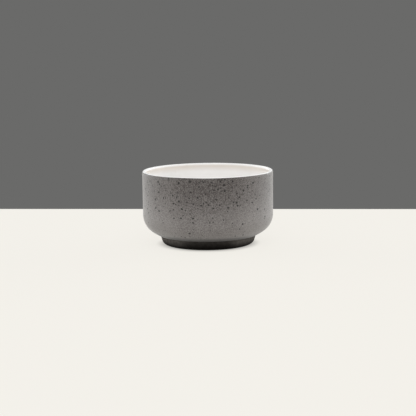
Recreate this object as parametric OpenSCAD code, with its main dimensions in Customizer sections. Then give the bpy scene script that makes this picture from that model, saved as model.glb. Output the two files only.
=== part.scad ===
// Bowl for milky coffee, turned in stoneware: a clay body, a white glaze inside and over the lip, a grey
// glaze outside, and the same grey glaze in the hollow of the foot. Millimetres, +Z up, and the origin is
// the middle of the foot, on the table.

/* [Bowl] */
// Outside diameter of the finished bowl
bowl_d = 120; // [96:1:150]
// Height from the table to the top of the lip
bowl_h = 68; // [54:1:84]
// Outside radius where the upright wall rolls under into the belly
belly_r = 18.5; // [14:0.5:24]
// Slope of the belly's underside, up from level, in degrees
underside_angle = 30; // [22:1:38]

/* [Wall] */
// Thickness of the wall over both glazes
wall_t = 4.3; // [3.4:0.1:6]
// Thickness of the lip over both glazes
lip_t = 3.2; // [2.6:0.1:4]
// Radius of the lip's two edges, over the glaze
lip_r = 1.5; // [1:0.1:2]
// Thickness of the clay floor
floor_t = 5; // [4:0.1:8]
// Radius where the floor turns up into the belly
floor_r = 30; // [20:1:36]

/* [Foot] */
// Diameter of the foot at the crease under the belly
foot_d = 88.5; // [72:0.5:106]
// Diameter of the foot at the table, before its edge is rounded
foot_base_d = 83; // [70:0.5:100]
// Height of the crease above the table
foot_h = 8.5; // [6:0.5:10]
// Width of the foot ring at the table, before its edges are rounded
foot_ring_w = 7; // [5:0.5:9]
// Radius of the foot's outer edge
foot_edge_r = 5; // [1:0.5:6]
// Radius of the foot's inner edge and of the corner above it
foot_hollow_r = 1.2; // [0.8:0.1:2]
// Depth of the hollow inside the foot ring
foot_hollow_h = 3; // [2:0.1:3.8]
// How far the hollow's wall leans in towards its top
foot_hollow_lean = 1; // [0.4:0.1:2]
// Radius left in the crease by the turning tool
crease_r = 1.5; // [0.5:0.1:2]

/* [Glaze] */
// Thickness of each glaze
glaze_t = 0.4; // [0.3:0.05:0.6]
// Bare clay between the crease's rounding and the edge of the grey glaze
glaze_stop = 0.4; // [0.2:0.1:2]
// Where the white glaze ends on the lip's outer edge, up from level, in degrees
glaze_line_angle = 45; // [10:1:80]

/* [Hidden] */

$fn = 180;
// Longest step along a rounded corner, in degrees
arc_step = 4;
// Share of a straight run that the rounded corners at its two ends may use up
corner_share = 0.98;

// The clay is thinner than the finished bowl by the glaze on each face
clay_rim = bowl_d / 2 - glaze_t;
clay_top = bowl_h - glaze_t;
clay_wall = wall_t - 2 * glaze_t;
clay_lip = lip_t - 2 * glaze_t;
clay_lip_r = lip_r - glaze_t;
clay_belly_r = belly_r - glaze_t;

foot_rim = foot_d / 2;
foot_out = foot_base_d / 2;
foot_in = foot_out - foot_ring_w;
floor_z = foot_hollow_h + floor_t;
inner_wall = clay_rim - clay_wall;

// Height of the belly's underside at radius r, and of the parallel face inside the wall
function under_z(r) = foot_h + (r - foot_rim) * tan(underside_angle);
function inner_z(r) = under_z(r) + clay_wall / cos(underside_angle);

// Radius at which the inner face meets the floor
floor_edge = foot_rim + (floor_z - inner_z(foot_rim)) / tan(underside_angle);

// Half section of the clay, as corners [radius, height, rounding]. It runs from the axis under the foot,
// out and up over the lip, and back to the axis on the floor, with the clay on its left.
clay = [
    [0, foot_hollow_h, 0],
    [foot_in - foot_hollow_lean, foot_hollow_h, foot_hollow_r],
    [foot_in, 0, foot_hollow_r],
    [foot_out, 0, foot_edge_r],
    [foot_rim, foot_h, crease_r],
    [clay_rim, under_z(clay_rim), clay_belly_r],
    [clay_rim, clay_top, clay_lip_r],
    [clay_rim - clay_lip, clay_top, clay_lip_r],
    [inner_wall, inner_z(inner_wall), clay_belly_r - clay_wall],
    [floor_edge, floor_z, floor_r],
    [0, floor_z, 0]
];
HOLLOW = 1;
CREASE = 4;
BELLY = 5;
LIP_OUT = 6;
LIP_IN = 7;
LAST = len(clay) - 1;

function flat(p) = [p.x, p.y];
function left_of(v) = [-v.y, v.x];
function turned(v, a) = [v.x * cos(a) - v.y * sin(a), v.x * sin(a) + v.y * cos(a)];
function reversed(list) = [for (i = [len(list) - 1 : -1 : 0]) list[i]];

// The straight run from corner i to the next: its length and its direction
function run(i) = norm(flat(clay[i + 1]) - flat(clay[i]));
function way(i) = (flat(clay[i + 1]) - flat(clay[i])) / run(i);

// The turn at corner i, left positive, and the length of run that its rounding takes up on each side
function turn(i) = atan2(cross(way(i - 1), way(i)), way(i - 1) * way(i));
function is_end(i) = i == 0 || i == LAST;
function reach(i) = is_end(i) ? 0 : clay[i].z * tan(abs(turn(i)) / 2);

// Straight length that run i keeps: under the belly, room for the edge of the grey glaze
function kept(i) = i == CREASE ? glaze_stop + glaze_t : 0;

// Rounding at corner i, made smaller where the runs beside it are too short for it
function fit(i) = (corner_share * run(i) - kept(i)) / (reach(i) + reach(i + 1));
function rounding(i) = clay[i].z * min(1, fit(i - 1), fit(i));

// Points round corner i, moved out from the clay, over the share of its turn between from and to
function bend(i, out = 0, from = 0, to = 1) =
    let (
        a = turn(i),
        r = sign(a) * rounding(i),
        start = flat(clay[i]) - way(i - 1) * abs(r) * tan(abs(a) / 2),
        middle = start + left_of(way(i - 1)) * r,
        steps = ceil(abs(a) * (to - from) / arc_step)
    )
    [
        for (k = [0 : steps])
            middle - left_of(turned(way(i - 1), a * (from + (to - from) * k / steps))) * (r + out)
    ];

// The section from one corner to another, moved out from the clay
function end_point(i, out) = flat(clay[i]) - left_of(way(i == 0 ? 0 : i - 1)) * out;
function trace(first, last, out = 0) =
    [for (i = [first : last]) each is_end(i) ? [end_point(i, out)] : bend(i, out)];

// The grey glaze thins out over its own thickness at the foot, and the two glazes meet on the lip
lip_share = glaze_line_angle / turn(LIP_OUT);
crease_end = bend(CREASE)[len(bend(CREASE)) - 1];
function glaze_edge(out) = crease_end + way(CREASE) * (glaze_stop + out) - left_of(way(CREASE)) * out;
function outside_way(out) =
    concat([glaze_edge(out)], bend(BELLY, out), bend(LIP_OUT, out, 0, lip_share));
function inside_way(out) = concat(bend(LIP_OUT, out, lip_share, 1), trace(LIP_IN, LAST, out));
function base_way(out) = trace(0, HOLLOW, out);

// A coat of glaze lies between the clay and the same line moved out
function coat(on_clay, on_top) = concat(on_clay, reversed(on_top));

module turned_solid(section) {
    rotate_extrude() polygon(section);
}

module stoneware_body() {
    color("#3f3a36") turned_solid(trace(0, LAST));
}

module inside_glaze() {
    color("#ece8e3") turned_solid(coat(inside_way(0), inside_way(glaze_t)));
}

module outside_glaze() {
    color("#6e6966") turned_solid(coat(outside_way(0), outside_way(glaze_t)));
}

module base_glaze() {
    color("#6e6966") turned_solid(coat(base_way(0), base_way(glaze_t)));
}

stoneware_body();
inside_glaze();
outside_glaze();
base_glaze();
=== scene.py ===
"""Bowl for milky coffee: a stoneware body and its three glazes, as turned surfaces with their finishes.

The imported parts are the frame: each piece here stands for one of them and keeps its place and size.
Lengths are in metres, +Z is up, and the origin is the middle of the foot, on the table."""

import math
from typing import NamedTuple

import bpy
import numpy as np
from bpy.props import FloatProperty, FloatVectorProperty, PointerProperty
from mathutils import Euler, Matrix, Vector


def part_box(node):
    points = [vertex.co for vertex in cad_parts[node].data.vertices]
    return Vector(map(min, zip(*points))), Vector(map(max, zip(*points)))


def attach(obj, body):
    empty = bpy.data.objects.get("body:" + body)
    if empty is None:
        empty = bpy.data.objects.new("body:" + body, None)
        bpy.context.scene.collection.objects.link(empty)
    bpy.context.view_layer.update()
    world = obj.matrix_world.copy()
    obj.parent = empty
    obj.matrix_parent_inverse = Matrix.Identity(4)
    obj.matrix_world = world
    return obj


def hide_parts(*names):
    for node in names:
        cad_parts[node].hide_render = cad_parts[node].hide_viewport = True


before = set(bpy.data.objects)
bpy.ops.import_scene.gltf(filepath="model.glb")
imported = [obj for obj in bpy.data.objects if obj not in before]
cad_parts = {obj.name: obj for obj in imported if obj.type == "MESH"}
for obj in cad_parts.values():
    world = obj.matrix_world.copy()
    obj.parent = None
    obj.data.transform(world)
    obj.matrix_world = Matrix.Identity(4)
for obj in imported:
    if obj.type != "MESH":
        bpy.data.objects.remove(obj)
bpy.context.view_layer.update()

bl_info = {
    "name": "Bowl for milky coffee",
    "version": (1, 0, 0),
    "blender": (4, 5, 0),
    "location": "3D View > Sidebar > Bowl",
    "description": "Turns the clay and the glazes of a stoneware bowl and sets it on a pale table",
    "category": "Object",
}

BODY = "root"
MM = 0.001

# How finely the surfaces are made: columns round the axis, and the longest step along a section
TURNS = 256
ARC_STEP = math.radians(5)
RUN_STEP = 1.2 * MM
SHARP_ANGLE = math.radians(50)

# Sockets of the Mix node that carry colours
MIX_FACTOR, MIX_FIRST, MIX_SECOND = 0, 6, 7
MIX_RESULT = 2

# The value about which a noise texture varies
NOISE_MIDDLE = 0.5

# Specks: the smallest and the faintest as shares of the largest and the strongest, and the share of a
# speck's radius inside its soft edge
SPECK_SMALLEST = 0.5
SPECK_FAINTEST = 0.9
SPECK_CORE = 0.9

# Fired grain: how many times larger the coarse noise is than the fine one, and the fine one's height as a
# share of the coarse one's
GRAIN_COARSE = 4.0
GRAIN_FINE_HEIGHT = 0.4

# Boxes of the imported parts, from which the overall sizes come
OUTSIDE_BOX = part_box("outside_glaze")
INSIDE_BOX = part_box("inside_glaze")
BODY_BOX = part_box("stoneware_body")
BASE_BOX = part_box("base_glaze")
RIM_RADIUS = min(*OUTSIDE_BOX[1][:2], *(-side for side in OUTSIDE_BOX[0][:2]))


def length(name, description, default):
    """A size in metres."""
    return FloatProperty(
        name=name, description=description, default=default, precision=5, unit="LENGTH", subtype="DISTANCE"
    )


def angle(name, description, degrees):
    """An angle, given in degrees and kept in radians."""
    return FloatProperty(
        name=name, description=description, default=math.radians(degrees), unit="ROTATION", subtype="ANGLE"
    )


def fraction(name, description, default):
    """A part of a whole."""
    return FloatProperty(name=name, description=description, default=default, min=0, max=1, subtype="FACTOR")


def level(name, description, default):
    """Brightness that a lamp gives a white card facing it, where 1 is white."""
    return FloatProperty(name=name, description=description, default=default, min=0)


def colour(name, description, default):
    """A scene-linear colour."""
    return FloatVectorProperty(
        name=name, description=description, default=default, size=3, min=0, max=1, subtype="COLOR"
    )


class BowlSizes(bpy.types.PropertyGroup):
    """Sizes of the finished bowl, over its glazes unless they say clay."""

    rim_radius: length("Rim", "Outside radius of the bowl", RIM_RADIUS)
    height: length("Height", "From the table to the top of the lip", INSIDE_BOX[1].z)
    belly_radius: length("Belly", "Outside radius where the wall rolls under", 18.5 * MM)
    underside_slope: angle("Underside", "Slope of the belly's underside, up from level", 30)
    wall: length("Wall", "Thickness of the wall over both glazes", 4.3 * MM)
    lip: length("Lip", "Thickness of the lip over both glazes", 3.2 * MM)
    lip_radius: length("Lip edge", "Radius of the lip's two edges", 1.5 * MM)
    floor_height: length("Floor", "Height of the clay floor inside", INSIDE_BOX[0].z)
    floor_radius: length("Floor turn", "Radius where the clay floor turns up into the belly", 30 * MM)
    foot_radius: length("Foot", "Radius of the foot at the crease under the belly", 44.25 * MM)
    foot_base_radius: length("Foot base", "Radius of the foot at the table, before its rounding", 41.5 * MM)
    foot_height: length("Crease height", "Height of the crease above the table", 8.5 * MM)
    foot_ring: length("Foot ring", "Width of the foot ring at the table", 7 * MM)
    foot_edge: length("Foot edge", "Radius of the foot's outer edge", 5 * MM)
    hollow_height: length("Hollow", "Depth of the clay's hollow inside the foot ring", BASE_BOX[1].z)
    hollow_edge: length("Hollow edge", "Radius of the foot's inner edge and the corner above", 1.2 * MM)
    hollow_lean: length("Hollow lean", "How far the hollow's wall leans in towards its top", 1 * MM)
    crease: length("Crease", "Radius left in the crease by the turning tool", 1.5 * MM)
    glaze: length("Glaze", "Thickness of each glaze", INSIDE_BOX[1].z - BODY_BOX[1].z)
    glaze_stop: length("Glaze stop", "Bare clay between the crease and the grey glaze", 0.4 * MM)
    glaze_line: angle("Glaze line", "Where the two glazes meet on the lip's outer edge, up from level", 45)


class BowlMarks(bpy.types.PropertyGroup):
    """Small marks of the making: how far edges wander and surfaces leave the true form. Also painted light
    and shade.
    """

    line_wander: angle("Lip line wander", "How far the line on the lip strays round its edge", 5)
    edge_wander: length("Foot line wander", "How far the grey glaze's lower edge strays", 0.25 * MM)
    edge_round: length("Foot line rounding", "Width over which the grey glaze rounds off", 0.8 * MM)
    edge_left: fraction("Foot line, left", "Share of its thickness left at that edge", 0.15)
    line_round: length("Lip line rounding", "Width over which both glazes round off on the lip", 0.25 * MM)
    line_left: fraction("Lip line, left", "Share of their thickness left at that line", 0.6)
    # Painted shade: over these widths from its lower edge the grey glaze darkens, in the crease over the
    # foot and at the hollow
    edge_shade_full: length("Thin edge", "Width above the foot where hardly any glaze covers the clay", 3.0 * MM)
    edge_shade_end: length("Thin band", "Width above the foot over which clay shows through the glaze", 10.5 * MM)
    ripple: length("Ripple", "Depth of the soft rings left by throwing", 0.03 * MM)
    ripple_pitch: length("Ripple pitch", "Height between two of those rings", 7 * MM)
    ripple_wander: length("Ripple wander", "How far those rings rise and fall round the bowl", 0.6685 * MM)
    # Partly a thick run of glaze, partly painted light: the grey is paler low on the wall and darker up to
    # the lip
    run_top: length("Run, top", "Height above which the grey glaze is thin", 61 * MM)
    run_and_light_share: fraction("Run, share", "How much thinner the grey glaze is at the top", 0.74)
    run_bottom: length("Run, bottom", "Height below which the grey glaze has run thick", 17 * MM)
    # Painted shade: the grey glaze is made darker on the front, towards the camera, from the belly to the
    # lip
    shaded_side: angle("Thin side", "Direction about the axis in which the grey glaze is thinnest", -90)
    shaded_reach: angle("Thin side, reach", "How far round from there the glaze is thinner", 39)
    shade_low: fraction("Thin side, low", "How much thinner the glaze is there at the belly", 0.36)
    shade_high: fraction("Thin side, high", "How much thinner the glaze is there at the lip", 0.33)
    # The white is painted paler over the lip as a highlight, and a darker, warmer band follows under it
    lip_top: length("Lip band, top", "From the white glaze's edge to where it starts to thin", 2.2 * MM)
    lip_full: length("Lip band, full", "From the white glaze's edge to where it is thinnest", 3.4 * MM)
    lip_end: length("Lip band, end", "From the white glaze's edge to where it is thick again", 10 * MM)
    # Painted shade: the bare foot darkens down to the table, and reaches higher on the front
    foot_shade: length("Dark foot edge", "Height over which the foot darkens down to the table", 8 * MM)
    foot_shade_front: length("Dark foot edge, thin side", "How much higher that reaches on the thin side", 14 * MM)
    tool_mark: length("Tool mark", "Depth of the fine grooves turned into the foot", 0.05 * MM)
    tool_pitch: length("Tool pitch", "Distance between two of those grooves", 0.9 * MM)
    tool_fade: length("Tool fade", "Width over which they set in at the ring's inner edge", 0.7 * MM)
    rub_full: length("Rubbed, full", "Height up to which the foot is rubbed pale", 0.05 * MM)
    rub_end: length("Rubbed, end", "Height at which that ends", 0.3 * MM)


class BowlFinish(bpy.types.PropertyGroup):
    """Colours of the clay and the glazes, and what varies the grey one."""

    clay_deep: colour("Clay, deep", "Darker patches of the bare clay", (0.072, 0.065, 0.058))
    clay_pale: colour("Clay, pale", "Paler patches of the bare clay", (0.150, 0.139, 0.130))
    # Painted shade, near black, low on the foot by the table
    clay_shaded: colour("Clay, low", "Bare clay low on the foot", (0.002, 0.0015, 0.001))
    clay_rubbed: colour("Clay, rubbed", "Bare clay where the foot stands", (0.156, 0.140, 0.125))
    grog: colour("Grog", "Pale grains in the clay", (0.169, 0.150, 0.127))
    # The grey's tone runs from deep to pale and carries painted light and shade as well as the glaze's run
    grey_deep: colour("Grey, deep", "Grey glaze where it is thin", (0.0355, 0.0262, 0.0234))
    grey_pale: colour("Grey, pale", "Grey glaze where it is thick", (0.2715, 0.255, 0.247))
    # Painted shade in the crease over the foot and at the edge of the hollow
    grey_crease_shade: colour("Grey, edge", "Grey glaze at its lower edge, over the clay", (0.022, 0.019, 0.017))
    # The run field also carries painted light and shade
    grey_run_and_light: fraction("Grey, run", "How much a thick run makes the grey glaze paler", 0.6)
    grey_cloud: fraction("Grey, clouds", "How much wide clouds make it paler", 0.05)
    grey_mottle: fraction("Grey, mottle", "How much its fine mottle makes it paler", 0.5)
    grey_sheen: fraction("Grey, sheen", "Soft sheen of the grey glaze at a low angle", 0.3)
    speck: colour("Specks", "Iron specks in the grey glaze", (0.006, 0.005, 0.004))
    speck_large: length("Specks, large", "Radius of the largest specks", 1.1 * MM)
    speck_small: length("Specks, small", "Radius of the small specks between them", 0.6 * MM)
    specks_thin: fraction("Specks, thin glaze", "Share of places with a speck where it is thin", 0.95)
    specks_thick: fraction("Specks, thick glaze", "Share of places with a speck where it is thick", 0.22)
    # Painted highlight: paler white over the lip
    white_lip_highlight: colour("White, lip", "White glaze over the lip", (0.958, 0.950, 0.938))
    white_deep: colour("White, deep", "Darker clouds in the white glaze", (0.898, 0.880, 0.867))
    white_pale: colour("White, pale", "Paler clouds in the white glaze", (0.926, 0.914, 0.901))
    # A darker, warmer band in the white just under the lip
    white_under_lip: colour("White, thin", "White glaze warmed by the clay under the lip", (0.770, 0.710, 0.650))
    pinhole: colour("Pinholes", "Small pits in the white glaze", (0.480, 0.430, 0.380))


class BowlStage(bpy.types.PropertyGroup):
    """Camera, table, backdrop and lamps."""

    camera_distance: length("Camera distance", "From the camera to the middle of the foot", 1117 * MM)
    camera_height: angle("Camera height", "Of the camera above the table, seen from the foot", 10.09)
    camera_pitch: angle("Camera pitch", "How far below level the camera looks", 8.436)
    camera_roll: angle("Camera roll", "Turn of the camera to the left about its own line of sight", -0.68)
    lens: FloatProperty(name="Lens", description="Focal length", default=104.2, min=1, unit="CAMERA")
    table: colour("Table", "Colour of the table top, as it lights the bowl", (0.800, 0.780, 0.735))
    table_glow: colour("Table, even part", "Brightness of the table as it is seen", (0.818, 0.797, 0.748))
    table_shade: colour("Table, lit part", "Colour added to it by light and shadow", (0.080, 0.078, 0.074))
    contact_start: length("Contact shadow start", "Distance from the axis where it is darkest", 36 * MM)
    contact_end: length("Contact shadow end", "Distance from the axis where it ends", 50 * MM)
    contact_share: fraction("Contact shadow", "Share of the even part left where it is darkest", 0.45)
    backdrop: colour("Backdrop", "Colour behind the table", (0.144, 0.144, 0.141))
    backdrop_distance: length("Backdrop distance", "From the axis of the bowl to the backdrop", 212 * MM)
    backdrop_turn: angle("Backdrop turn", "Turn of the backdrop about the vertical", -4.7)
    fill: colour("Fill", "Even light from the room", (0.610, 0.609, 0.605))
    lamp_distance: length("Lamp distance", "From each softbox to the bowl", 4.0)
    side_width: length("Side softboxes, width", "Width of the softboxes on either side", 4.2)
    lamp_size: length("Lamp size", "Height of the side softboxes, width and height of the front one", 2.8)
    side_turn: angle("Side softboxes, turn", "Round from the camera to either side", 124)
    side_height: angle("Side softboxes, height", "Above the table, seen from the bowl", 8)
    side_light: colour("Side softboxes, colour", "Colour of their light", (0.955, 0.985, 1.0))
    left_level: level("Left softbox", "Level of the softbox on the left", 0.71)
    right_level: level("Right softbox", "Level of the softbox on the right", 0.83)
    front_light: colour("Front softbox, colour", "Colour of its light", (1.0, 1.0, 1.0))
    front_height: angle("Front softbox, height", "Above the table, seen from the bowl", 40)
    front_level: level("Front softbox", "Level of the softbox over the camera", 0.36)


class Line(NamedTuple):
    """Points (station, column, 2) along a half section, and the directions out of the clay there."""

    points: np.ndarray
    out: np.ndarray


def left_of(way):
    """A direction turned a quarter turn to the left."""
    return np.array([-way[1], way[0]])


class ClaySection:
    """Half section of the clay as corners with a rounding each, walked with the clay on the left.

    It runs from the axis under the foot, out and up over the lip, and back to the axis on the floor."""

    UNDER, HOLLOW, FOOT_IN, FOOT_OUT, CREASE, BELLY, LIP_OUT, LIP_IN, INNER_BELLY, FLOOR, MIDDLE = range(11)

    def __init__(self, sizes):
        rim = sizes.rim_radius - sizes.glaze
        top = sizes.height - sizes.glaze
        wall = sizes.wall - 2 * sizes.glaze
        lip = sizes.lip - 2 * sizes.glaze
        lip_radius = sizes.lip_radius - sizes.glaze
        belly_radius = sizes.belly_radius - sizes.glaze
        foot_in = sizes.foot_base_radius - sizes.foot_ring
        rise = math.tan(sizes.underside_slope)
        belly_height = sizes.foot_height + (rim - sizes.foot_radius) * rise
        inner_shift = wall / math.cos(sizes.underside_slope) - wall * rise
        inner_foot = sizes.foot_height + wall / math.cos(sizes.underside_slope)
        floor_edge = sizes.foot_radius + (sizes.floor_height - inner_foot) / rise
        corners = np.array(
            [
                (0, sizes.hollow_height, 0),
                (foot_in - sizes.hollow_lean, sizes.hollow_height, sizes.hollow_edge),
                (foot_in, 0, sizes.hollow_edge),
                (sizes.foot_base_radius, 0, sizes.foot_edge),
                (sizes.foot_radius, sizes.foot_height, sizes.crease),
                (rim, belly_height, belly_radius),
                (rim, top, lip_radius),
                (rim - lip, top, lip_radius),
                (rim - wall, belly_height + inner_shift, belly_radius - wall),
                (floor_edge, sizes.floor_height, sizes.floor_radius),
                (0, sizes.floor_height, 0),
            ]
        )
        self.points = corners[:, :2]
        self.radii = corners[:, 2]
        runs = np.diff(self.points, axis=0)
        self.ways = runs / np.linalg.norm(runs, axis=1, keepdims=True)
        headings = np.unwrap(np.arctan2(self.ways[:, 1], self.ways[:, 0]))
        self.turns = np.concatenate([[0], np.diff(headings), [0]])

    def end(self, corner):
        """The axis at either end of the section. The way out of the clay is to the right of the run."""
        way = self.ways[min(corner, len(self.ways) - 1)]
        return Line(self.points[corner].reshape(1, 1, 2), -left_of(way).reshape(1, 1, 2))

    def bend(self, corner, first=0.0, last=1.0):
        """Points round a corner, over the share of its turn from first to last.

        The rounding's middle lies one radius to the left of where it starts. Each point lies one radius
        from that middle, to the right of the run's direction as turned so far, which is the way out of the
        clay."""
        turn = self.turns[corner]
        radius = self.radii[corner] * np.sign(turn)
        way = self.ways[corner - 1]
        start = self.points[corner] - way * abs(radius * math.tan(turn / 2))
        middle = start + left_of(way) * radius
        steps = math.ceil(abs(turn) / ARC_STEP)
        along = np.linspace(0, 1, steps + 1)[:, None]
        heading = math.atan2(way[1], way[0]) + turn * (first + (last - first) * along)
        out = np.stack([np.sin(heading), -np.cos(heading)], axis=-1)
        return Line(middle + out * radius, out)

    def trace(self, first, last):
        """The section from one corner to another."""
        return [
            self.end(corner) if corner in (self.UNDER, self.MIDDLE) else self.bend(corner)
            for corner in range(first, last + 1)
        ]

    def foot_line(self, distance):
        """A point on the underside, at a distance from the crease's rounding that may differ by column."""
        crease = self.bend(self.CREASE)
        away = np.broadcast_to(distance, (TURNS,))[None, :, None]
        return Line(crease.points[-1:] + self.ways[self.CREASE] * away, crease.out[-1:])


def joined(lines):
    """Lines one after another as one line with all its columns."""
    return Line(
        *(
            np.concatenate([np.broadcast_to(part, (len(part), TURNS, 2)) for part in parts])
            for parts in zip(*lines)
        )
    )


def refined(line):
    """The line with points added on its longer runs, evenly between the two ends of each run."""
    gaps = np.linalg.norm(np.diff(line.points, axis=0), axis=2).mean(axis=1)
    counts = np.maximum(1, np.ceil(gaps / RUN_STEP)).astype(int)
    stations = np.concatenate([run + np.arange(count) / count for run, count in enumerate(counts)])
    stations = np.append(stations, len(gaps))
    before = np.minimum(stations.astype(int), len(gaps) - 1)
    after = (stations - before)[:, None, None]
    return Line(*(part[before] * (1 - after) + part[before + 1] * after for part in line))


def distance_along(points):
    """Length of line from its first station, for each column."""
    gaps = np.linalg.norm(np.diff(points, axis=0), axis=2)
    return np.concatenate([np.zeros((1, TURNS)), np.cumsum(gaps, axis=0)])


def column_turns():
    """Angle of each column about the axis."""
    return np.arange(TURNS) * (2 * math.pi / TURNS)


def wander(seed, slowest=2, quickest=9):
    """A smooth curve once round the bowl, from -1 to 1.

    It is a sum of sine waves of random phase, each weaker the quicker it is."""
    waves = np.arange(slowest, quickest + 1)
    phases = np.random.default_rng(seed).uniform(0, 2 * math.pi, len(waves))
    curve = (np.sin(np.outer(column_turns(), waves) + phases) / waves).sum(axis=1)
    return curve / np.abs(curve).max()


def eased(values, start, stop):
    """0 up to start, 1 from stop, and a smooth step between them."""
    part = np.clip((values - start) / (stop - start), 0, 1)
    return part * part * (3 - 2 * part)


def ring_waves(along, pitch, shift=0.0):
    """Waves from 0 to 1 along a section: half of one plus a sine that turns once in each pitch."""
    return 0.5 + 0.5 * np.sin(2 * math.pi * along / pitch + shift)


def rounded_off(distance, width, edge_share):
    """Share of a coat's thickness at a distance from its edge: a quarter ellipse from edge_share up to 1."""
    short = 1 - np.clip(distance / width, 0, 1)
    return edge_share + (1 - edge_share) * np.sqrt(1 - short * short)


def vertex_order(grid, closed):
    """Vertices of a (station, column) grid. An open section has one on the axis at each end."""
    if closed:
        return grid.reshape(-1, *grid.shape[2:])
    middle = grid[1:-1].reshape(-1, *grid.shape[2:])
    return np.concatenate([grid[0, :1], middle, grid[-1, :1]])


def turned_mesh(name, section, closed, **fields):
    """Mesh of a half section carried round the Z axis, with a value per vertex for each named field.

    Station s in column c lies at (r cos t, r sin t, z), where (r, z) is the section there and t the
    column's angle. A closed section joins its last station to its first. An open one starts and ends on
    the axis, where a fan of triangles closes it. The solid is on the left of the section, so the faces
    point outwards."""
    turns = column_turns()
    radius, height = section[..., 0], section[..., 1]
    grid = np.stack([radius * np.cos(turns), radius * np.sin(turns), height], axis=-1)
    vertices = vertex_order(grid, closed)

    number = np.arange(len(section) * TURNS).reshape(-1, TURNS)
    if not closed:
        number = np.clip(number - (TURNS - 1), 0, len(vertices) - 1)
    following = np.roll(number, -1, axis=0) if closed else number[1:]
    leading = number if closed else number[:-1]
    beside = np.roll(leading, -1, axis=1)
    across = np.roll(following, -1, axis=1)
    quads = np.stack([leading, beside, across, following], axis=-1)
    if closed:
        faces = quads.reshape(-1, 4).tolist()
    else:
        faces = quads[0][:, [0, 2, 3]].tolist()
        faces += quads[1:-1].reshape(-1, 4).tolist()
        faces += quads[-1][:, [0, 1, 2]].tolist()

    mesh = bpy.data.meshes.new(name)
    mesh.from_pydata(vertices.tolist(), [], faces)
    mesh.polygons.foreach_set("use_smooth", np.ones(len(faces), bool))
    mesh.set_sharp_from_angle(angle=SHARP_ANGLE)
    for key, values in fields.items():
        attribute = mesh.attributes.new(key, "FLOAT", "POINT")
        attribute.data.foreach_set("value", vertex_order(values, closed).astype(np.float32))
    mesh.validate()
    mesh.update()
    return mesh


def coat_mesh(name, line, thickness, closed=False, from_axis=False, **fields):
    """Mesh of a glaze: it lies between the clay and the same line moved out by the glaze's thickness.

    The section goes back along the clay and then along the top of the glaze. For a line that starts on the
    axis it goes along the top first and then back along the clay. Either way the glaze is on its left."""
    on_top = line.points + line.out * thickness[..., None]

    def both(under, over):
        return np.concatenate([over, under[::-1]] if from_axis else [under[::-1], over])

    fields = {key: both(values, values) for key, values in fields.items()}
    return turned_mesh(name, both(line.points, on_top), closed, **fields)


def add_piece(mesh, material, node):
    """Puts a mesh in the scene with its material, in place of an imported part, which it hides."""
    mesh.materials.append(material)
    piece = bpy.data.objects.new(mesh.name, mesh)
    bpy.context.scene.collection.objects.link(piece)
    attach(piece, BODY)
    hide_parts(node)


def shaded_side(marks):
    """How much each column faces the side painted darker: 1 on that side and 0 beyond its reach."""
    return eased(np.cos(column_turns() - marks.shaded_side), math.cos(marks.shaded_reach), 1)


def lip_line(clay, sizes, marks):
    """Share of the lip's outer turn at which the two glazes meet, for each column."""
    return (sizes.glaze_line + marks.line_wander * wander(seed=3)) / clay.turns[clay.LIP_OUT]


def add_node(tree, kind, inputs=(), **settings):
    """A node with its settings, and with each named input linked to a socket or set to a value."""
    node = tree.nodes.new(kind)
    for name, value in settings.items():
        setattr(node, name, value)
    for key, value in dict(inputs).items():
        if isinstance(value, bpy.types.NodeSocket):
            tree.links.new(value, node.inputs[key])
        else:
            node.inputs[key].default_value = value
    return node


def maths(tree, operation, *values):
    """The result of one sum on sockets or numbers."""
    return add_node(tree, "ShaderNodeMath", enumerate(values), operation=operation).outputs[0]


def vector_maths(tree, operation, inputs):
    """The vector that one sum on vectors gives."""
    return add_node(tree, "ShaderNodeVectorMath", inputs, operation=operation).outputs[0]


def weakened(tree, mask, strength):
    """A mask at part of its strength."""
    return maths(tree, "MULTIPLY", mask, strength)


def raised(tree, ground, mask, by):
    """A height with a mask raised on it, or sunk into it where the number is negative."""
    return maths(tree, "MULTIPLY_ADD", mask, by, ground)


def between(tree, dice, low, high=1.0):
    """A number from low to high, as a dice from 0 to 1 falls."""
    return maths(tree, "MULTIPLY_ADD", dice, high - low, low)


def ramp(tree, value, start=0.0, stop=1.0, before=0.0, after=1.0):
    """A smooth step of a value: before up to start, and after from stop on."""
    ends = {"Value": value, "From Min": start, "From Max": stop, "To Min": before, "To Max": after}
    return add_node(tree, "ShaderNodeMapRange", ends, interpolation_type="SMOOTHSTEP").outputs[0]


def mixed(tree, factor, first, second):
    """A mix of two colours, the first at 0 and the second at 1."""
    colours = [each if isinstance(each, bpy.types.NodeSocket) else (*each, 1) for each in (first, second)]
    ends = {MIX_FACTOR: factor, MIX_FIRST: colours[0], MIX_SECOND: colours[1]}
    return add_node(tree, "ShaderNodeMix", ends, data_type="RGBA").outputs[MIX_RESULT]


def new_group(name, inputs, outputs):
    """An empty shader node group and its input and output nodes. inputs gives each socket's kind."""
    tree = bpy.data.node_groups.new(name, "ShaderNodeTree")
    for socket, kind in inputs.items():
        tree.interface.new_socket(socket, in_out="INPUT", socket_type=kind)
    for socket in outputs:
        tree.interface.new_socket(socket, in_out="OUTPUT", socket_type="NodeSocketFloat")
    return tree, tree.nodes.new("NodeGroupInput").outputs, tree.nodes.new("NodeGroupOutput").inputs


def per_size(tree, place, size):
    """Coordinates counted in lengths of a size."""
    return vector_maths(tree, "SCALE", {"Vector": place, "Scale": maths(tree, "DIVIDE", 1.0, size)})


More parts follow.
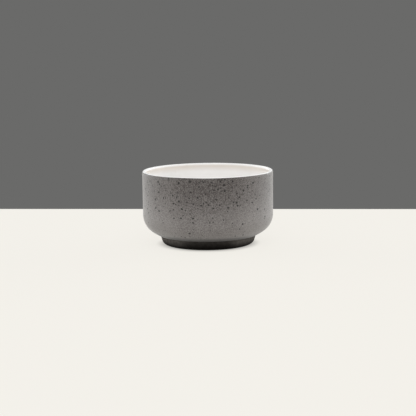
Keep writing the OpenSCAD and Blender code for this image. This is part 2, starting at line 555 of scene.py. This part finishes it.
def cloud_group():
    """Soft clouds: fractal noise in patches about Size across, spread about its middle by Contrast."""
    name = "Clouds"
    if name in bpy.data.node_groups:
        return bpy.data.node_groups[name]
    kinds = {"Vector": "NodeSocketVector", "Size": "NodeSocketFloat", "Contrast": "NodeSocketFloat"}
    tree, given, put = new_group(name, kinds, ["Cloud"])
    place = per_size(tree, given["Vector"], given["Size"])
    values = {"Vector": place, "Scale": 1.0, "Detail": 4.0, "Roughness": 0.55}
    noise = add_node(tree, "ShaderNodeTexNoise", values)
    centred = maths(tree, "SUBTRACT", noise.outputs[0], NOISE_MIDDLE)
    spread = maths(tree, "MULTIPLY_ADD", centred, given["Contrast"], NOISE_MIDDLE)
    tree.links.new(maths(tree, "MINIMUM", maths(tree, "MAXIMUM", spread, 0.0), 1.0), put["Cloud"])
    return tree


def speck_group():
    """Specks: one ragged ball in some cells of a random lattice, cut by the surface.

    Spacing is the size of a cell, Share the part of the cells that hold a ball, Radius the largest ball, and
    Ragged how far noise bends its outline. A ball's own random numbers set its size and its strength."""
    name = "Specks"
    if name in bpy.data.node_groups:
        return bpy.data.node_groups[name]
    numbers = ["Spacing", "Share", "Radius", "Ragged"]
    kinds = {"Vector": "NodeSocketVector", **dict.fromkeys(numbers, "NodeSocketFloat")}
    tree, given, put = new_group(name, kinds, ["Mask"])
    in_radii = per_size(tree, given["Vector"], given["Radius"])
    rough = add_node(tree, "ShaderNodeTexNoise", {"Vector": in_radii, "Scale": 0.8, "Detail": 2.0})
    centred = vector_maths(tree, "SUBTRACT", {0: rough.outputs["Color"], 1: (NOISE_MIDDLE,) * 3})
    reach = maths(tree, "MULTIPLY", given["Ragged"], given["Radius"])
    shift = vector_maths(tree, "SCALE", {0: centred, "Scale": reach})
    bent = vector_maths(tree, "ADD", {0: given["Vector"], 1: shift})
    in_cells = per_size(tree, bent, given["Spacing"])
    cells = add_node(tree, "ShaderNodeTexVoronoi", {"Vector": in_cells, "Scale": 1.0})
    dice = add_node(tree, "ShaderNodeSeparateColor", {"Color": cells.outputs["Color"]}).outputs
    held = maths(tree, "LESS_THAN", dice[0], given["Share"])
    distance = maths(tree, "MULTIPLY", cells.outputs["Distance"], given["Spacing"])
    radius = maths(tree, "MULTIPLY", given["Radius"], between(tree, dice[1], low=SPECK_SMALLEST))
    core = maths(tree, "MULTIPLY", radius, SPECK_CORE)
    ball = ramp(tree, distance, start=core, stop=radius, before=1.0, after=0.0)
    strength = between(tree, dice[2], low=SPECK_FAINTEST)
    tree.links.new(maths(tree, "MULTIPLY", maths(tree, "MULTIPLY", ball, held), strength), put["Mask"])
    return tree


def grain_group():
    """Fine grain of a fired surface: a coarse noise, and a lower one of Size on it."""
    name = "Fired grain"
    if name in bpy.data.node_groups:
        return bpy.data.node_groups[name]
    kinds = {"Vector": "NodeSocketVector", "Size": "NodeSocketFloat"}
    tree, given, put = new_group(name, kinds, ["Height"])
    place = per_size(tree, given["Vector"], given["Size"])
    fine = add_node(tree, "ShaderNodeTexNoise", {"Vector": place, "Scale": 1.0, "Detail": 2.0})
    values = {"Vector": place, "Scale": 1 / GRAIN_COARSE, "Detail": 1.0}
    coarse = add_node(tree, "ShaderNodeTexNoise", values)
    height = raised(tree, coarse.outputs[0], fine.outputs[0], by=GRAIN_FINE_HEIGHT)
    tree.links.new(height, put["Height"])
    return tree


def use_group(tree, group, place, output, **values):
    """A group placed in a material with its own values, and one of its outputs."""
    return add_node(tree, "ShaderNodeGroup", {"Vector": place, **values}, node_tree=group).outputs[output]


def clouds(tree, place, size, contrast):
    """Soft clouds from 0 to 1."""
    return use_group(tree, cloud_group(), place, "Cloud", Size=size, Contrast=contrast)


def specks(tree, place, spacing, share, radius, ragged):
    """Mask of specks."""
    values = {"Spacing": spacing, "Share": share, "Radius": radius, "Ragged": ragged}
    return use_group(tree, speck_group(), place, "Mask", **values)


def grain(tree, place, size):
    """Height of a fine grain."""
    return use_group(tree, grain_group(), place, "Height", Size=size)


def field(tree, name):
    """A value that the mesh carries on its vertices."""
    return add_node(tree, "ShaderNodeAttribute", attribute_name=name).outputs["Fac"]


def start_material(name):
    """A new material: its tree, its Principled shader and the piece's own coordinates."""
    material = bpy.data.materials.new(name)
    material.use_nodes = True
    tree = material.node_tree
    shader = next(node for node in tree.nodes if node.type == "BSDF_PRINCIPLED")
    return material, tree, shader, tree.nodes.new("ShaderNodeTexCoord").outputs["Object"]


def finish_surface(tree, shader, base, roughness, height, depth):
    """Links colour and roughness, and lets a height raise the surface by at most depth."""
    bump = add_node(tree, "ShaderNodeBump", {"Height": height, "Distance": depth, "Strength": 1.0})
    tree.links.new(base, shader.inputs["Base Color"])
    tree.links.new(roughness, shader.inputs["Roughness"])
    tree.links.new(bump.outputs[0], shader.inputs["Normal"])


def bare_clay(finish):
    """Dry dark clay, clouded and with grains of grog, paler where it stands; painted shade darkens it low on
    the foot.
    """
    material, tree, shader, place = start_material("bare_clay")
    cloud = clouds(tree, place, size=3 * MM, contrast=1.8)
    grains = specks(tree, place, spacing=1.3 * MM, share=0.4, radius=0.3 * MM, ragged=1.2)
    patches = ramp(tree, cloud, start=0.1, stop=0.8, before=0.35, after=0.9)
    rubbed = maths(tree, "MULTIPLY", field(tree, "rubbed"), patches)
    base = mixed(tree, cloud, finish.clay_deep, finish.clay_pale)
    base = mixed(tree, weakened(tree, grains, strength=0.5), base, finish.grog)
    # Painted shade, down to near black at the table
    base = mixed(tree, weakened(tree, field(tree, "low"), strength=0.98), base, finish.clay_shaded)
    base = mixed(tree, rubbed, base, finish.clay_rubbed)
    roughness = ramp(tree, cloud, before=0.92, after=0.8)
    height = raised(tree, grain(tree, place, size=0.35 * MM), grains, by=0.8)
    finish_surface(tree, shader, base, roughness, height, depth=0.05 * MM)
    shader.inputs["Specular IOR Level"].default_value = 0.03
    return material


def matt_grey_glaze(finish):
    """Matt grey glaze with iron specks and a soft sheen, paler and less speckled low on the wall.

    Its run field, wide clouds and a fine mottle add up to its tone. The run field is partly a thick run of
    glaze and partly painted light and shade: paler low down, darker up to the lip and on the front. The
    specks are crowded in some places, and painted shade darkens the glaze in patches towards its lower edge."""
    material, tree, shader, place = start_material("matt_grey_glaze")
    # The run field: partly a thick run, partly painted light and shade, paler low down and darker up to the
    # lip and on the front
    run = field(tree, "run")
    cloud = clouds(tree, place, size=9 * MM, contrast=1.7)
    mottle = clouds(tree, place, size=0.9 * MM, contrast=4.0)
    crowd = clouds(tree, place, size=12 * MM, contrast=2.0)
    many = ramp(tree, run, start=0.1, stop=0.9, before=finish.specks_thin, after=finish.specks_thick)
    many = maths(tree, "MULTIPLY", many, ramp(tree, crowd, before=0.35, after=1.3))
    large = specks(tree, place, spacing=3.4 * MM, share=many, radius=finish.speck_large, ragged=0.9)
    small = specks(tree, place, spacing=1.8 * MM, share=many, radius=finish.speck_small, ragged=0.9)
    tone = maths(tree, "MULTIPLY", cloud, finish.grey_cloud)
    tone = maths(tree, "MULTIPLY_ADD", run, finish.grey_run_and_light, tone)
    tone = maths(tree, "MULTIPLY_ADD", mottle, finish.grey_mottle, tone)
    base = mixed(tree, tone, finish.grey_deep, finish.grey_pale)
    base = mixed(tree, weakened(tree, small, strength=0.6), base, finish.speck)
    base = mixed(tree, large, base, finish.speck)
    # Painted shade near the glaze's lower edge, broken up by the mottle
    bare = maths(tree, "MULTIPLY", field(tree, "thin"), ramp(tree, mottle, before=0.75, after=1.0))
    base = mixed(tree, bare, base, finish.grey_crease_shade)
    roughness = ramp(tree, cloud, before=0.55, after=0.46)
    height = raised(tree, grain(tree, place, size=0.5 * MM), large, by=-0.6)
    finish_surface(tree, shader, base, roughness, height, depth=0.03 * MM)
    shader.inputs["Sheen Weight"].default_value = finish.grey_sheen
    shader.inputs["Sheen Roughness"].default_value = 0.4
    return material


def glossy_white_glaze(finish):
    """Glossy white glaze: faintly clouded and uneven, warmer under the lip, with a rare pinhole and a
    painted highlight over the lip.
    """
    material, tree, shader, place = start_material("glossy_white_glaze")
    cloud = clouds(tree, place, size=14 * MM, contrast=1.7)
    pits = specks(tree, place, spacing=7 * MM, share=0.35, radius=0.22 * MM, ragged=0.8)
    base = mixed(tree, cloud, finish.white_deep, finish.white_pale)
    # Painted highlight: paler white over the lip
    base = mixed(tree, field(tree, "lip"), base, finish.white_lip_highlight)
    # A darker, warmer band just under the lip
    base = mixed(tree, field(tree, "thin"), base, finish.white_under_lip)
    base = mixed(tree, weakened(tree, pits, strength=0.7), base, finish.pinhole)
    roughness = ramp(tree, cloud, before=0.38, after=0.30)
    swell = clouds(tree, place, size=4 * MM, contrast=1.0)
    height = raised(tree, swell, pits, by=-1.0)
    finish_surface(tree, shader, base, roughness, height, depth=0.03 * MM)
    return material


def shared_material(name, make, finish):
    """A material made once and then used again by its name."""
    return bpy.data.materials.get(name) or make(finish)


class BOWL_OT_clay_body(bpy.types.Operator):
    """Turns the clay body: floor, belly, wall and lip, and the foot ring with its tool marks"""

    bl_idname = "bowl.clay_body"
    bl_label = "Clay body"

    def execute(self, context):
        scene = context.scene
        sizes, marks = scene.bowl_sizes, scene.bowl_marks
        clay = ClaySection(sizes)
        line = refined(joined(clay.trace(clay.UNDER, clay.MIDDLE)))
        along = distance_along(line.points)
        radius, height = line.points[..., 0], line.points[..., 1]

        # A fine spiral groove, cut only into the bare foot ring outside the hollow and under the crease
        ring_edge = sizes.foot_base_radius - sizes.foot_ring
        bare = eased(radius, ring_edge, ring_edge + marks.tool_fade)
        bare = bare * eased(sizes.foot_height - height, 0, sizes.crease)
        depth = marks.tool_mark * bare * ring_waves(along, marks.tool_pitch, shift=column_turns())
        rubbed = bare * (1 - eased(height, marks.rub_full, marks.rub_end))
        # Painted shade: the foot darkens down to the table, higher on the front
        low = 1 - eased(height, 0, marks.foot_shade + marks.foot_shade_front * shaded_side(marks))

        section = line.points - line.out * depth[..., None]
        mesh = turned_mesh("clay_body", section, closed=False, rubbed=rubbed, low=low)
        material = shared_material("bare_clay", bare_clay, scene.bowl_finish)
        add_piece(mesh, material, "stoneware_body")
        return {"FINISHED"}


class BOWL_OT_outside_glaze(bpy.types.Operator):
    """Lays the grey glaze on the outside, from its edge above the foot up to the line on the lip"""

    bl_idname = "bowl.outside_glaze"
    bl_label = "Outside glaze"

    def execute(self, context):
        scene = context.scene
        sizes, marks = scene.bowl_sizes, scene.bowl_marks
        clay = ClaySection(sizes)
        foot_line = clay.foot_line(sizes.glaze_stop + marks.edge_wander * wander(seed=1))
        rolled_edge = clay.foot_line(sizes.glaze_stop + marks.edge_round)
        lip_edge = clay.bend(clay.LIP_OUT, 0.0, lip_line(clay, sizes, marks))
        line = refined(joined([foot_line, rolled_edge, clay.bend(clay.BELLY), lip_edge]))

        along = distance_along(line.points)
        left = along[-1] - along
        strayed = along + marks.ripple_wander * wander(seed=5)
        thickness = sizes.glaze - marks.ripple * ring_waves(strayed, marks.ripple_pitch)
        thickness = thickness * rounded_off(along, marks.edge_round, marks.edge_left)
        thickness = thickness * rounded_off(left, marks.line_round, marks.line_left)
        # Painted shade in the crease: darker over a band above the glaze's lower edge
        thin = 1 - eased(along, marks.edge_shade_full, marks.edge_shade_end)
        # Partly a thick run of glaze, partly painted light: paler low on the wall, darker up to the lip
        up = eased(line.points[..., 1], marks.run_bottom, marks.run_top)
        # Painted shade: darker still on the front, towards the camera
        side_shade = marks.shade_low + (marks.shade_high - marks.shade_low) * up
        run = 1 - marks.run_and_light_share * up - side_shade * shaded_side(marks)

        mesh = coat_mesh("grey_coat", line, thickness, closed=True, thin=thin, run=run)
        material = shared_material("matt_grey_glaze", matt_grey_glaze, scene.bowl_finish)
        add_piece(mesh, material, "outside_glaze")
        return {"FINISHED"}


class BOWL_OT_inside_glaze(bpy.types.Operator):
    """Lays the white glaze over the floor and wall inside, and over the lip to the line on its outer edge"""

    bl_idname = "bowl.inside_glaze"
    bl_label = "Inside glaze"

    def execute(self, context):
        scene = context.scene
        sizes, marks = scene.bowl_sizes, scene.bowl_marks
        clay = ClaySection(sizes)
        lip_edge = clay.bend(clay.LIP_OUT, lip_line(clay, sizes, marks), 1.0)
        line = refined(joined([lip_edge, *clay.trace(clay.LIP_IN, clay.MIDDLE)]))

        along = distance_along(line.points)
        thickness = sizes.glaze * rounded_off(along, marks.line_round, marks.line_left)
        # Painted highlight: paler white over the lip, down to where the band under it starts
        under_lip = eased(along, marks.lip_top, marks.lip_full)
        # A darker, warmer band just under the lip
        thin = under_lip * (1 - eased(along, marks.lip_full, marks.lip_end))

        mesh = coat_mesh("white_lining", line, thickness, thin=thin, lip=1 - under_lip)
        material = shared_material("glossy_white_glaze", glossy_white_glaze, scene.bowl_finish)
        add_piece(mesh, material, "inside_glaze")
        return {"FINISHED"}


class BOWL_OT_base_glaze(bpy.types.Operator):
    """Lays the grey glaze in the hollow inside the foot ring"""

    bl_idname = "bowl.base_glaze"
    bl_label = "Base glaze"

    def execute(self, context):
        scene = context.scene
        sizes, marks = scene.bowl_sizes, scene.bowl_marks
        clay = ClaySection(sizes)
        line = refined(joined(clay.trace(clay.UNDER, clay.HOLLOW)))

        along = distance_along(line.points)
        left = along[-1] - along
        thickness = sizes.glaze * rounded_off(left, marks.edge_round, marks.edge_left)
        # Painted shade over a band at the edge of the hollow
        thin = 1 - eased(left, marks.edge_shade_full, marks.edge_shade_end)
        run = np.ones_like(thin)

        mesh = coat_mesh("foot_coat", line, thickness, from_axis=True, thin=thin, run=run)
        material = shared_material("matt_grey_glaze", matt_grey_glaze, scene.bowl_finish)
        add_piece(mesh, material, "base_glaze")
        return {"FINISHED"}


def add_sheet(name, corners, material):
    """A flat four-cornered part of the stage."""
    mesh = bpy.data.meshes.new(name)
    mesh.from_pydata(corners, [], [(0, 1, 2, 3)])
    mesh.materials.append(material)
    sheet = bpy.data.objects.new(name, mesh)
    bpy.context.scene.collection.objects.link(sheet)
    return sheet


def clear_behind(tree, front):
    """The surface of a sheet that shows a shader on its front and nothing at all from behind."""
    clear = add_node(tree, "ShaderNodeBsdfTransparent")
    behind = add_node(tree, "ShaderNodeNewGeometry").outputs["Backfacing"]
    either = add_node(tree, "ShaderNodeMixShader", {0: behind, 1: front, 2: clear.outputs[0]})
    output = next(node for node in tree.nodes if node.type == "OUTPUT_MATERIAL")
    tree.links.new(either.outputs[0], output.inputs["Surface"])


def table_finish(stage):
    """Plain pale table top, which throws the lamps' light back up at the bowl.

    Seen directly, or mirrored in a glossy surface, it is evenly bright but for a shadow at the foot."""
    material, tree, shader, place = start_material("pale_table")
    across = add_node(tree, "ShaderNodeVectorMath", {0: place}, operation="LENGTH").outputs["Value"]
    shown = ramp(tree, across, stage.contact_start, stage.contact_end, before=stage.contact_share)
    ray = add_node(tree, "ShaderNodeLightPath").outputs
    mirrored = maths(tree, "MAXIMUM", ray["Is Glossy Ray"], ray["Is Transmission Ray"])
    seen = maths(tree, "MAXIMUM", ray["Is Camera Ray"], mirrored)
    glow = mixed(tree, maths(tree, "MULTIPLY", shown, seen), (0, 0, 0), stage.table_glow)
    base = mixed(tree, seen, stage.table, stage.table_shade)
    tree.links.new(glow, shader.inputs["Emission Color"])
    tree.links.new(base, shader.inputs["Base Color"])
    shader.inputs["Emission Strength"].default_value = 1.0
    shader.inputs["Specular IOR Level"].default_value = 0.0
    clear_behind(tree, shader.outputs[0])
    return material


def backdrop_finish(stage):
    """Even colour that needs no light."""
    material, tree, shader, _ = start_material("plain_backdrop")
    shader.inputs["Base Color"].default_value = (0, 0, 0, 1)
    shader.inputs["Specular IOR Level"].default_value = 0.0
    shader.inputs["Emission Color"].default_value = (*stage.backdrop, 1)
    shader.inputs["Emission Strength"].default_value = 1.0
    clear_behind(tree, shader.outputs[0])
    return material


def room_light(stage):
    """A pale room that fills the shadows evenly."""
    world = bpy.data.worlds.new("room")
    world.use_nodes = True
    tree = world.node_tree
    tree.nodes.clear()
    fill = add_node(tree, "ShaderNodeBackground", {"Color": (*stage.fill, 1), "Strength": 1.0})
    add_node(tree, "ShaderNodeOutputWorld", {"Surface": fill.outputs[0]})
    return world


def add_softbox(name, stage, target, turn, height, width, light, brightness):
    """A soft lamp of a width, at an angle round from the camera and a height above the table.

    A flat lamp of power P lights a card that faces it from a distance d with P / (pi d^2), and a white
    card then shows 1 / pi of that."""
    lamp = bpy.data.lights.new(name, "AREA")
    lamp.shape = "RECTANGLE"
    lamp.size = width
    lamp.size_y = stage.lamp_size
    lamp.color = light
    lamp.energy = brightness * (math.pi * stage.lamp_distance) ** 2
    level_way = Vector((math.sin(turn), -math.cos(turn), 0))
    away = level_way * math.cos(height) + Vector((0, 0, math.sin(height)))
    softbox = bpy.data.objects.new(name, lamp)
    softbox.location = target + away * stage.lamp_distance
    softbox.rotation_euler = (-away).to_track_quat("-Z", "Y").to_euler()
    softbox.visible_camera = False
    bpy.context.scene.collection.objects.link(softbox)


def add_camera(stage):
    """The camera in front of the bowl, turned up to level and then a little down."""
    camera = bpy.data.cameras.new("camera")
    camera.lens = stage.lens
    holder = bpy.data.objects.new("camera", camera)
    back = Vector((0, -math.cos(stage.camera_height), math.sin(stage.camera_height)))
    holder.location = back * stage.camera_distance
    tilt = Euler((math.radians(90) - stage.camera_pitch, 0, 0)).to_matrix()
    holder.rotation_euler = (tilt @ Matrix.Rotation(stage.camera_roll, 3, "Z")).to_euler()
    bpy.context.scene.collection.objects.link(holder)
    return holder


class BOWL_OT_stage(bpy.types.Operator):
    """Sets the bowl on a pale table before a plain backdrop, with soft lamps and the camera"""

    bl_idname = "bowl.stage"
    bl_label = "Table, lamps and camera"

    # Half the side of the table, half the width of the backdrop, and its height, in metres
    TABLE_HALF = 8.0
    BACKDROP_HALF = 6.0
    BACKDROP_HEIGHT = 3.0

    def execute(self, context):
        scene = context.scene
        stage = scene.bowl_stage
        half = self.TABLE_HALF
        ground = [(-half, -half, 0), (half, -half, 0), (half, half, 0), (-half, half, 0)]
        add_sheet("table_top", ground, table_finish(stage))

        turn = Matrix.Rotation(stage.backdrop_turn, 3, "Z")
        middle = Vector((0, stage.backdrop_distance, 0))
        along = turn @ Vector((self.BACKDROP_HALF, 0, 0))
        up = Vector((0, 0, self.BACKDROP_HEIGHT))
        corners = [middle - along, middle + along, middle + along + up, middle - along + up]
        backdrop = add_sheet("backdrop", corners, backdrop_finish(stage))
        # Only the camera sees the backdrop, so that it takes no light from the bowl and gives it none
        for ray in ("diffuse", "glossy", "transmission", "volume_scatter", "shadow"):
            setattr(backdrop, "visible_" + ray, False)

        target = Vector((0, 0, scene.bowl_sizes.height / 2))
        side = {"height": stage.side_height, "width": stage.side_width, "light": stage.side_light}
        front = {"height": stage.front_height, "width": stage.lamp_size, "light": stage.front_light}
        left, right = -stage.side_turn, stage.side_turn
        add_softbox("left_softbox", stage, target, turn=left, brightness=stage.left_level, **side)
        add_softbox("right_softbox", stage, target, turn=right, brightness=stage.right_level, **side)
        add_softbox("front_softbox", stage, target, turn=0, brightness=stage.front_level, **front)

        scene.world = room_light(stage)
        scene.camera = add_camera(stage)
        scene.view_settings.view_transform = "Standard"
        return {"FINISHED"}


class BOWL_PT_sidebar(bpy.types.Panel):
    """Lists the bowl's pieces and the stage, with the sizes and colours that they are made from"""

    bl_idname = "BOWL_PT_sidebar"
    bl_label = "Bowl for milky coffee"
    bl_space_type = "VIEW_3D"
    bl_region_type = "UI"
    bl_category = "Bowl"

    def draw(self, context):
        layout = self.layout
        for operator in OPERATORS:
            layout.operator(operator.bl_idname)
        for name, group in SETTINGS.items():
            box = layout.box()
            values = getattr(context.scene, name)
            for key in group.__annotations__:
                box.prop(values, key)


SETTINGS = {
    "bowl_sizes": BowlSizes,
    "bowl_marks": BowlMarks,
    "bowl_finish": BowlFinish,
    "bowl_stage": BowlStage,
}
OPERATORS = (
    BOWL_OT_clay_body,
    BOWL_OT_outside_glaze,
    BOWL_OT_inside_glaze,
    BOWL_OT_base_glaze,
    BOWL_OT_stage,
)
CLASSES = (*SETTINGS.values(), *OPERATORS, BOWL_PT_sidebar)


def register():
    """Adds the classes, and their settings to the scene."""
    for each in CLASSES:
        bpy.utils.register_class(each)
    for name, group in SETTINGS.items():
        setattr(bpy.types.Scene, name, PointerProperty(type=group))


def unregister():
    """Takes the settings and the classes away again."""
    for name in SETTINGS:
        delattr(bpy.types.Scene, name)
    for each in reversed(CLASSES):
        bpy.utils.unregister_class(each)


def main():
    register()
    bpy.ops.bowl.clay_body()
    bpy.ops.bowl.outside_glaze()
    bpy.ops.bowl.inside_glaze()
    bpy.ops.bowl.base_glaze()
    bpy.ops.bowl.stage()


if __name__ == "__main__":
    main()
